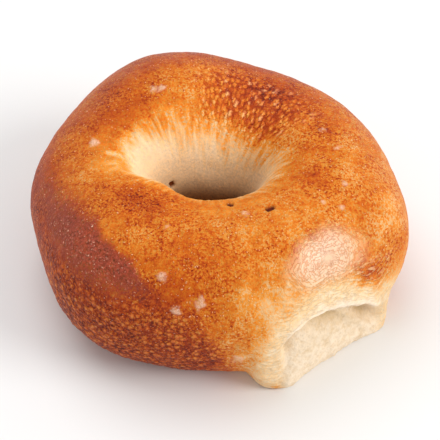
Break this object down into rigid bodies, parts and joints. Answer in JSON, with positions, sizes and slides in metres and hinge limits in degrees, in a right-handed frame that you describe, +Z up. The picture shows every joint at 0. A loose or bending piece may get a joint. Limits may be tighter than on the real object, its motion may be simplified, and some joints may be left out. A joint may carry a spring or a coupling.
{
  "type": "bagel",
  "caption": "Whole plain bagel, a puffy baked ring with a tight hole, a flat base and a torn pale patch on one side where it was pulled from its neighbour.",
  "frame": {"origin": "centre of the bounding box, at the flat base the bagel rests on", "axes": "+Z up out of the top crust, along the hole; +X and +Y across the ring, with the torn patch facing between +X and -Y"},
  "size_m": [0.1118, 0.1068, 0.0513],
  "materials": {
    "crust": "satin"
  },
  "bodies": {
    "root": {"bagel": "crust"}
  },
  "joints": []
}
